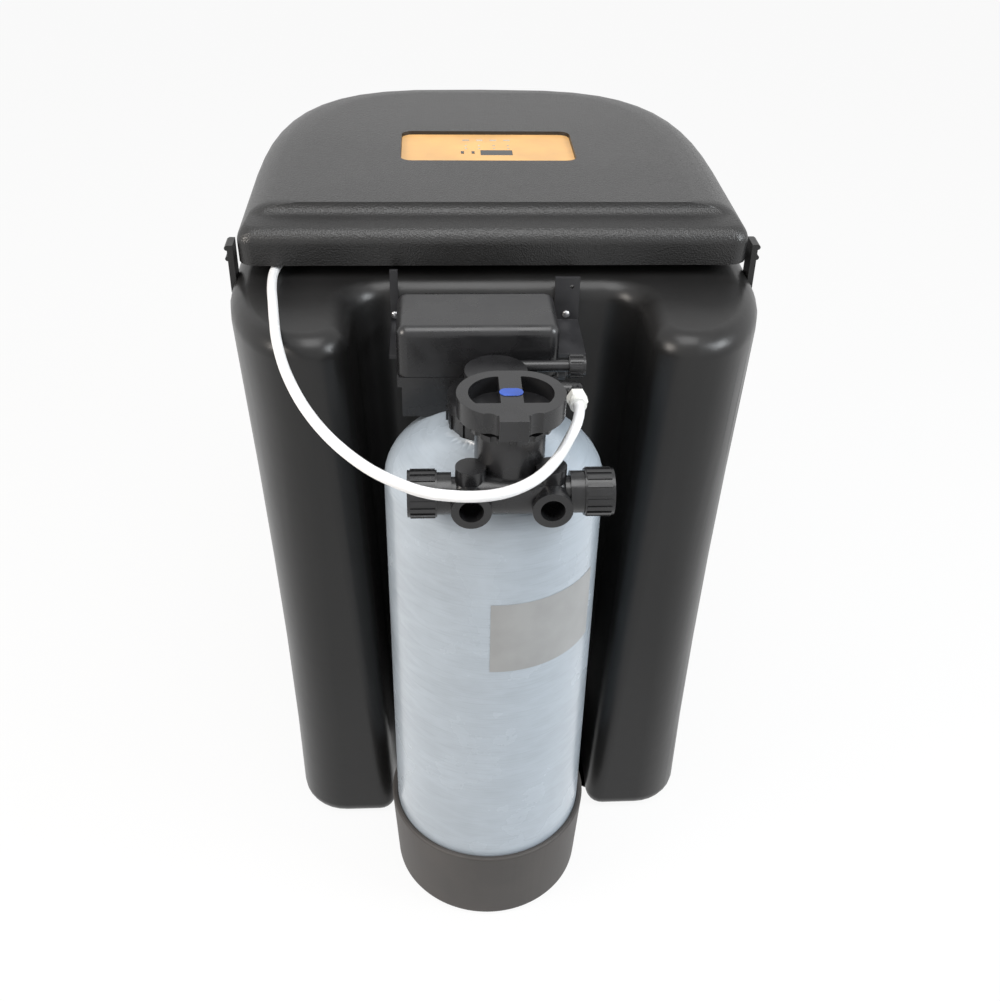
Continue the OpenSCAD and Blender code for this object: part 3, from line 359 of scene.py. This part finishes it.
def moulded_finish(name, base, low, high, specular=0.5, grain=900.0):
    finish = Finish(name, base, (low + high) / 2, specular)
    clouds = finish.noise(35.0, 4.0)
    finish.colour(finish.blend(finish.ramp(clouds, 0.35, 0.65), scaled(base, 0.8), scaled(base, 1.25)))
    finish.roughness(finish.ramp(clouds, 0.3, 0.7, low, high))
    finish.bump(finish.noise(grain, 2.0), 0.12, 0.0002)
    return finish.material


def steel_finish():
    finish = Finish("Turned Steel", (0.6, 0.6, 0.61), 0.3)
    finish.shader.inputs["Metallic"].default_value = 1.0
    lines = finish.noise(300.0, 3.0, finish.stretched((1.0, 8.0, 8.0)))
    finish.colour(finish.blend(finish.ramp(lines, 0.35, 0.65), (0.48, 0.48, 0.49), (0.66, 0.66, 0.67)))
    finish.roughness(finish.ramp(lines, 0.3, 0.7, 0.22, 0.4))
    return finish.material


def panel_finish():
    base = colours().panel
    finish = Finish("Panel Orange Film", base, 0.42, 0.4)
    clouds = finish.noise(18.0, 4.0)
    finish.colour(finish.blend(finish.ramp(clouds, 0.35, 0.65), scaled(base, 0.9), scaled(base, 1.12)))
    finish.roughness(finish.ramp(clouds, 0.3, 0.7, 0.36, 0.5))
    finish.bump(finish.noise(1500.0, 2.0), 0.08, 0.0002)
    return finish.material


def tube_finish():
    base = colours().tube
    finish = Finish("Tube Milky White", base, 0.3, 0.5)
    finish.shader.inputs["Subsurface Weight"].default_value = 0.12
    finish.shader.inputs["Subsurface Radius"].default_value = (0.004, 0.004, 0.004)
    clouds = finish.noise(24.0, 3.0)
    finish.colour(finish.blend(finish.ramp(clouds, 0.35, 0.65), scaled(base, 0.93), scaled(base, 1.05)))
    finish.roughness(finish.ramp(clouds, 0.3, 0.7, 0.25, 0.38))
    return finish.material


def make_finishes():
    palette = colours()
    white = (0.72, 0.72, 0.69)
    return {
        "tank_plastic": tank_finish(),
        "lid_plastic": lid_finish(),
        "vessel_fibre": vessel_finish(),
        "boot_plastic": boot_finish(),
        "valve_plastic": moulded_finish("Valve Black", palette.valve, 0.2, 0.36),
        "panel_plastic": moulded_finish("Panel Tray Black", palette.valve, 0.4, 0.5),
        "overlay": panel_finish(),
        "display": moulded_finish("Display Dark", (0.006, 0.007, 0.008), 0.08, 0.14),
        "lamp": moulded_finish("Lamp Lens", (0.5, 0.45, 0.36), 0.2, 0.3),
        "board": moulded_finish("Board Green", (0.02, 0.12, 0.05), 0.4, 0.55),
        "white_plastic": moulded_finish("Natural White", white, 0.38, 0.5, 0.45),
        "float_plastic": moulded_finish("Float Red", (0.45, 0.08, 0.05), 0.5, 0.6),
        "resin_beads": moulded_finish("Resin Amber", (0.22, 0.1, 0.03), 0.4, 0.6, 0.5, 1800.0),
        "bracket_metal": moulded_finish("Bracket Black", (0.02, 0.02, 0.022), 0.35, 0.5),
        "hinge_metal": moulded_finish("Hinge Black", (0.02, 0.02, 0.022), 0.35, 0.5),
        "ceramic": moulded_finish("Disc Ceramic", (0.72, 0.68, 0.6), 0.25, 0.35),
        "seal_rubber": moulded_finish("Seal Rubber", (0.01, 0.01, 0.01), 0.6, 0.75, 0.3),
        "badge": moulded_finish("Badge Blue", palette.badge, 0.25, 0.35),
        "tube_plastic": tube_finish(),
        "steel": steel_finish(),
    }


FINISHES = {}


def finish_for(slot_name):
    if not FINISHES:
        FINISHES.update(make_finishes())
    return FINISHES[slot_name]


def node_mesh(node):
    """A bmesh of the node's solid with its loose triangles joined and its flat faces whole."""
    work = bmesh.new()
    work.from_mesh(frame["nodes"][node].data)
    bmesh.ops.remove_doubles(work, verts=work.verts, dist=0.000002)
    bmesh.ops.dissolve_limit(
        work, angle_limit=math.radians(0.6), use_dissolve_boundaries=False, verts=work.verts, edges=work.edges)
    return work


def sharp_edges(work, angle):
    return [
        edge for edge in work.edges
        if len(edge.link_faces) == 2 and edge.calc_face_angle(0.0) > math.radians(angle)
    ]


def round_edges(work, width, angle=38.0, segments=2):
    bmesh.ops.bevel(
        work, geom=sharp_edges(work, angle), offset=width, offset_type="OFFSET", affect="EDGES",
        segments=segments, profile=0.5, clamp_overlap=True, material=-1)


def add_piece(work, name, body, slot_name, nodes=(), angle=30.0):
    mesh = bpy.data.meshes.new(name)
    work.to_mesh(mesh)
    work.free()
    mesh.shade_smooth()
    mesh.set_sharp_from_angle(angle=math.radians(angle))
    piece = bpy.data.objects.new(name, mesh)
    bpy.context.scene.collection.objects.link(piece)
    mesh.materials.append(finish_for(slot_name))
    flatten = piece.modifiers.new("Flat Faces", "WEIGHTED_NORMAL")
    flatten.keep_sharp = True
    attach(piece, body)
    if nodes:
        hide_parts(*nodes)
    return piece


def dress_node(node, width, angle=38.0):
    """The node's solid with rounded edges and its finish."""
    work = node_mesh(node)
    if width:
        round_edges(work, width, angle)
    return add_piece(work, "Dressed_" + node, BODY_OF[node], SLOT_OF[node], [node])


def paint_node(node):
    """The node's own solid with its finish."""
    mesh = frame["nodes"][node].data
    mesh.materials.clear()
    mesh.materials.append(finish_for(SLOT_OF[node]))


def smooth_route(points, gap):
    """Points of the smooth curve through the route's points."""
    vectors = [Vector(point) for point in points]
    last = len(vectors) - 1
    path = []
    for index in range(last):
        before, start = vectors[max(index - 1, 0)], vectors[index]
        end, after = vectors[index + 1], vectors[min(index + 2, last)]
        steps = max(1, round((end - start).length / gap))
        for step in range(steps):
            t = step / steps
            path.append(0.5 * (
                2 * start + (end - before) * t + (2 * before - 5 * start + 4 * end - after) * t ** 2
                + (3 * start - before - 3 * end + after) * t ** 3))
    path.append(vectors[last])
    return path


class SOFTENER_OT_stage(bpy.types.Operator):
    """Adds the floor, the soft light and the camera"""

    bl_idname = "softener.stage"
    bl_label = "Stage"

    def execute(self, context):
        scene = context.scene
        scene.view_settings.view_transform = "Standard"
        self.add_world(scene)
        self.add_floor()
        for lamp in LAMPS:
            self.add_lamp(*lamp)
        self.add_camera(scene)
        return {"FINISHED"}

    def add_world(self, scene):
        world = bpy.data.worlds.new("Studio")
        world.use_nodes = True
        tree = world.node_tree
        background = tree.nodes["Background"]
        background.inputs["Color"].default_value = (1, 1, 1, 1)
        level = tree.nodes.new("ShaderNodeMapRange")
        level.inputs["To Min"].default_value = LIGHT_LEVEL
        level.inputs["To Max"].default_value = SEEN_LEVEL
        tree.links.new(self.seen_rays(tree), level.inputs["Value"])
        tree.links.new(level.outputs["Result"], background.inputs["Strength"])
        scene.world = world

    def seen_rays(self, tree):
        """One for rays that show the background straight or in a reflection."""
        rays = tree.nodes.new("ShaderNodeLightPath")
        either = rays.outputs["Is Camera Ray"]
        for kind in ("Is Glossy Ray", "Is Transmission Ray"):
            larger = tree.nodes.new("ShaderNodeMath")
            larger.operation = "MAXIMUM"
            tree.links.new(either, larger.inputs[0])
            tree.links.new(rays.outputs[kind], larger.inputs[1])
            either = larger.outputs["Value"]
        return either

    def add_floor(self):
        work = bmesh.new()
        bmesh.ops.create_grid(work, x_segments=2, y_segments=2, size=sizes().floor / 2)
        mesh = bpy.data.meshes.new("Floor")
        work.to_mesh(mesh)
        work.free()
        floor = bpy.data.objects.new("Floor", mesh)
        bpy.context.scene.collection.objects.link(floor)
        material = bpy.data.materials.new("Floor White")
        material.use_nodes = True
        tree = material.node_tree
        shader = tree.nodes["Principled BSDF"]
        shader.inputs["Base Color"].default_value = (FLOOR_GREY, FLOOR_GREY, FLOOR_GREY, 1)
        shader.inputs["Roughness"].default_value = 0.9
        glow = tree.nodes.new("ShaderNodeEmission")
        share = tree.nodes.new("ShaderNodeMath")
        share.operation = "MULTIPLY"
        share.inputs[1].default_value = FLOOR_GLOW
        tree.links.new(self.seen_rays(tree), share.inputs[0])
        mix = tree.nodes.new("ShaderNodeMixShader")
        tree.links.new(share.outputs["Value"], mix.inputs["Fac"])
        tree.links.new(shader.outputs["BSDF"], mix.inputs[1])
        tree.links.new(glow.outputs["Emission"], mix.inputs[2])
        tree.links.new(mix.outputs["Shader"], tree.nodes["Material Output"].inputs["Surface"])
        mesh.materials.append(material)

    def add_lamp(self, name, place, target, size, energy, colour):
        data = bpy.data.lights.new(name, "AREA")
        data.size = size
        data.energy = energy
        data.color = colour
        lamp = bpy.data.objects.new(name, data)
        lamp.location = place
        lamp.rotation_euler = (Vector(target) - Vector(place)).to_track_quat("-Z", "Y").to_euler()
        bpy.context.scene.collection.objects.link(lamp)

    def add_camera(self, scene):
        data = bpy.data.cameras.new("Camera")
        data.sensor_width = SENSOR_WIDTH
        data.lens = SENSOR_WIDTH * FOCAL_PIXELS / PHOTO_PIXELS
        data.clip_end = 100.0
        camera = bpy.data.objects.new("Camera", data)
        turn = Matrix((CAMERA_RIGHT, -CAMERA_DOWN, -CAMERA_AHEAD)).transposed()
        place = Vector(CAMERA_PLACE) + Vector((0, Y_SHIFT, 0))
        camera.matrix_world = Matrix.Translation(place) @ turn.to_4x4()
        scene.collection.objects.link(camera)
        scene.camera = camera


class SOFTENER_OT_brine_tube(bpy.types.Operator):
    """Adds the white brine tube"""

    bl_idname = "softener.brine_tube"
    bl_label = "Brine Tube"

    def execute(self, context):
        route = smooth_route(TUBE_ROUTE, ROUTE_STEP)
        path = [point / MILLIMETRES + Vector((0, Y_SHIFT, 0)) for point in route]
        curve = bpy.data.curves.new("Brine_Tube", "CURVE")
        curve.dimensions = "3D"
        curve.bevel_depth = sizes().tube_diameter / 2
        curve.bevel_resolution = 6
        curve.use_fill_caps = True
        line = curve.splines.new("POLY")
        line.points.add(len(path) - 1)
        for point, place in zip(line.points, path):
            point.co = (*place, 1)
        tube = bpy.data.objects.new("Brine_Tube", curve)
        context.scene.collection.objects.link(tube)
        curve.materials.append(finish_for("tube_plastic"))
        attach(tube, BODY_OF["brine_tube"])
        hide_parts("brine_tube")
        return {"FINISHED"}


class SOFTENER_OT_tank(bpy.types.Operator):
    """Adds the tank with its rounded edges"""

    bl_idname = "softener.tank"
    bl_label = "Tank"

    def execute(self, context):
        dress_node("tank", sizes().edge, BROAD_EDGE_ANGLE)
        dress_node("mouth_rim", sizes().edge, BROAD_EDGE_ANGLE)
        return {"FINISHED"}


class SOFTENER_OT_lid(bpy.types.Operator):
    """Adds the lid with its rounded edges"""

    bl_idname = "softener.lid"
    bl_label = "Lid"

    def execute(self, context):
        dress_node("lid", sizes().edge, BROAD_EDGE_ANGLE)
        return {"FINISHED"}


class SOFTENER_OT_panel(bpy.types.Operator):
    """Adds the control panel's pieces"""

    bl_idname = "softener.panel"
    bl_label = "Control Panel"

    def execute(self, context):
        for node in ("panel_tray", "control_board"):
            paint_node(node)
        for node in ("panel_overlay", "display_window", "indicator_lamps"):
            dress_node(node, sizes().fine_edge * 0.6)
        return {"FINISHED"}


def add_bar(work, place, size):
    """A small block with its underside at the place."""
    lift = Matrix.Translation(Vector(place) + Vector((0, 0, size[2] / 2)))
    bmesh.ops.create_cube(work, size=1.0, matrix=lift @ Matrix.Diagonal((*size, 1.0)))


class SOFTENER_OT_panel_marks(bpy.types.Operator):
    """Adds the plain printed bars on the control panel"""

    bl_idname = "softener.panel_marks"
    bl_label = "Panel Marks"

    def execute(self, context):
        film = sizes().print_film
        lamps_low, lamps_high = (Vector(corner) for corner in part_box("indicator_lamps"))
        window_low, window_high = (Vector(corner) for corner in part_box("display_window"))
        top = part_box("panel_overlay")[1][2]
        names = bmesh.new()
        span = lamps_high.x - lamps_low.x
        for column in range(NAME_COUNT):
            x = lamps_low.x + span * (column + NAME_MARGIN) / (NAME_COUNT - 1 + 2 * NAME_MARGIN)
            add_bar(names, (x, lamps_high.y + NAME_RISE, top), (*NAME_BAR, film))
        add_piece(names, "Panel_Names", BODY_OF["panel_overlay"], "lamp")
        keys = bmesh.new()
        middle = (window_low.y + window_high.y) / 2
        for gap in KEY_GAPS:
            add_bar(keys, (window_low.x - gap, middle, top), (*KEY_BAR, film))
        add_piece(keys, "Panel_Keys", BODY_OF["panel_overlay"], "display")
        return {"FINISHED"}


class SOFTENER_OT_vessel(bpy.types.Operator):
    """Adds the pressure vessel, its boot and what is inside it"""

    bl_idname = "softener.vessel"
    bl_label = "Pressure Vessel"

    def execute(self, context):
        dress_node("vessel_boot", sizes().edge, BROAD_EDGE_ANGLE)
        dress_node("vessel_shell", 0.0)
        for node in ("neck_seal", "riser_tube", "bottom_strainer", "top_basket", "resin_bed"):
            paint_node(node)
        self.add_sticker()
        return {"FINISHED"}

    def add_sticker(self):
        """The blank sticker, a strip turned about the vessel's line."""
        radius = (VESSEL_HIGH.x - VESSEL_LOW.x) / 2 + sizes().print_film
        start = math.radians(STICKER_START)
        work = bmesh.new()
        foot = VESSEL_AXIS + Vector((radius * math.cos(start), radius * math.sin(start), 0))
        foot.z = sizes().sticker_foot
        first = bmesh.ops.create_vert(work, co=foot)["vert"]
        grown = bmesh.ops.extrude_vert_indiv(work, verts=first)
        bmesh.ops.translate(work, verts=grown["verts"], vec=(0, 0, sizes().sticker_height))
        bmesh.ops.spin(
            work, geom=work.verts[:] + work.edges[:], cent=VESSEL_AXIS, axis=(0, 0, 1), dvec=(0, 0, 0),
            angle=sizes().sticker_width / radius, steps=STICKER_STEPS, use_merge=False, use_normal_flip=False,
            use_duplicate=False)
        bmesh.ops.recalc_face_normals(work, faces=work.faces)
        if work.faces[0].normal.dot(work.faces[0].calc_center_median() - VESSEL_AXIS) < 0:
            bmesh.ops.reverse_faces(work, faces=work.faces)
        bmesh.ops.solidify(work, geom=work.faces, thickness=sizes().print_film * 0.5)
        piece = add_piece(work, "Vessel_Sticker", BODY_OF["vessel_shell"], "vessel_fibre")
        piece.data.materials[0] = sticker_finish()


class SOFTENER_OT_valve(bpy.types.Operator):
    """Adds the control valve's pieces"""

    bl_idname = "softener.valve"
    bl_label = "Control Valve"

    def execute(self, context):
        for node in ("valve_body", "powerhead_cover", "brine_fitting", "brine_nut", "injector_cap", "drain_barb"):
            dress_node(node, sizes().edge)
        for node in ("drive_motor", "valve_spindle", "moving_disc", "fixed_disc"):
            paint_node(node)
        return {"FINISHED"}


class SOFTENER_OT_bypass(bpy.types.Operator):
    """Adds the bypass valve's pieces"""

    bl_idname = "softener.bypass"
    bl_label = "Bypass Valve"

    def execute(self, context):
        for node in ("bypass_body", "bypass_bonnet", "cap_nut_left", "cap_nut_right"):
            dress_node(node, sizes().edge)
        dress_node("bypass_handle", sizes().edge * 1.6)
        dress_node("handle_badge", sizes().fine_edge)
        for node in ("bypass_rotor", "rotor_seals", "handle_screw"):
            paint_node(node)
        self.add_arrows()
        return {"FINISHED"}

    def add_arrows(self):
        """Pale arrows on top of the side stubs, both pointing to the outlet."""
        work = bmesh.new()
        film = sizes().print_film
        for node, shift in (("cap_nut_left", ARROW_SHIFT), ("cap_nut_right", -ARROW_SHIFT)):
            low, high = (Vector(corner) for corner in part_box(node))
            middle = (low + high) / 2
            top = Vector((middle.x + shift, middle.y, middle.z + sizes().stub_radius))
            shaft = top + Vector((-ARROW_HALF, 0, -film * 0.5))
            add_bar(work, shaft, (*ARROW_SHAFT, film * 2))
            tip = top + Vector((ARROW_HALF, 0, film * 0.5))
            bmesh.ops.create_cone(
                work, cap_ends=True, segments=3, radius1=ARROW_HEAD_RADIUS, radius2=ARROW_HEAD_RADIUS,
                depth=film * 2, matrix=Matrix.Translation(tip) @ Matrix.Rotation(-math.pi / 2, 4, "Z"))
        add_piece(work, "Flow_Arrows", BODY_OF["bypass_body"], "white_plastic")


class SOFTENER_OT_brine_parts(bpy.types.Operator):
    """Adds the pieces inside the tank"""

    bl_idname = "softener.brine_parts"
    bl_label = "Brine Parts"

    def execute(self, context):
        for node in ("well_cap", "brine_elbow", "brine_float"):
            dress_node(node, sizes().fine_edge)
        for node in ("salt_grid", "brine_well", "float_rod"):
            paint_node(node)
        return {"FINISHED"}


class SOFTENER_OT_hardware(bpy.types.Operator):
    """Adds the hinge, the brackets and the screws"""

    bl_idname = "softener.hardware"
    bl_label = "Hinge and Brackets"

    def execute(self, context):
        for node in ("tank_hinge_leaf", "lid_hinge_leaf", "left_bracket", "right_bracket"):
            dress_node(node, sizes().fine_edge)
        for node in ("hinge_pin", "tank_leaf_screws", "lid_leaf_screws", "bracket_screws"):
            paint_node(node)
        return {"FINISHED"}


STEPS = (
    SOFTENER_OT_stage,
    SOFTENER_OT_brine_tube,
    SOFTENER_OT_tank,
    SOFTENER_OT_lid,
    SOFTENER_OT_panel,
    SOFTENER_OT_panel_marks,
    SOFTENER_OT_vessel,
    SOFTENER_OT_valve,
    SOFTENER_OT_bypass,
    SOFTENER_OT_brine_parts,
    SOFTENER_OT_hardware,
)


class SOFTENER_PT_build(bpy.types.Panel):
    """Lists the steps that build the water softener"""

    bl_idname = "SOFTENER_PT_build"
    bl_label = "Water Softener"
    bl_space_type = "VIEW_3D"
    bl_region_type = "UI"
    bl_category = "Water Softener"

    def draw(self, context):
        for step in STEPS:
            self.layout.operator(step.bl_idname)
        for group in (context.scene.softener_sizes, context.scene.softener_colours):
            for key in group.__annotations__:
                self.layout.prop(group, key)


CLASSES = (SoftenerColours, SoftenerSizes, *STEPS, SOFTENER_PT_build)


def register():
    for kind in CLASSES:
        bpy.utils.register_class(kind)
    bpy.types.Scene.softener_colours = bpy.props.PointerProperty(type=SoftenerColours)
    bpy.types.Scene.softener_sizes = bpy.props.PointerProperty(type=SoftenerSizes)


def unregister():
    del bpy.types.Scene.softener_sizes
    del bpy.types.Scene.softener_colours
    for kind in reversed(CLASSES):
        bpy.utils.unregister_class(kind)


def main():
    register()
    for step in STEPS:
        group, name = step.bl_idname.split(".")
        getattr(getattr(bpy.ops, group), name)()


if __name__ == "__main__":
    main()
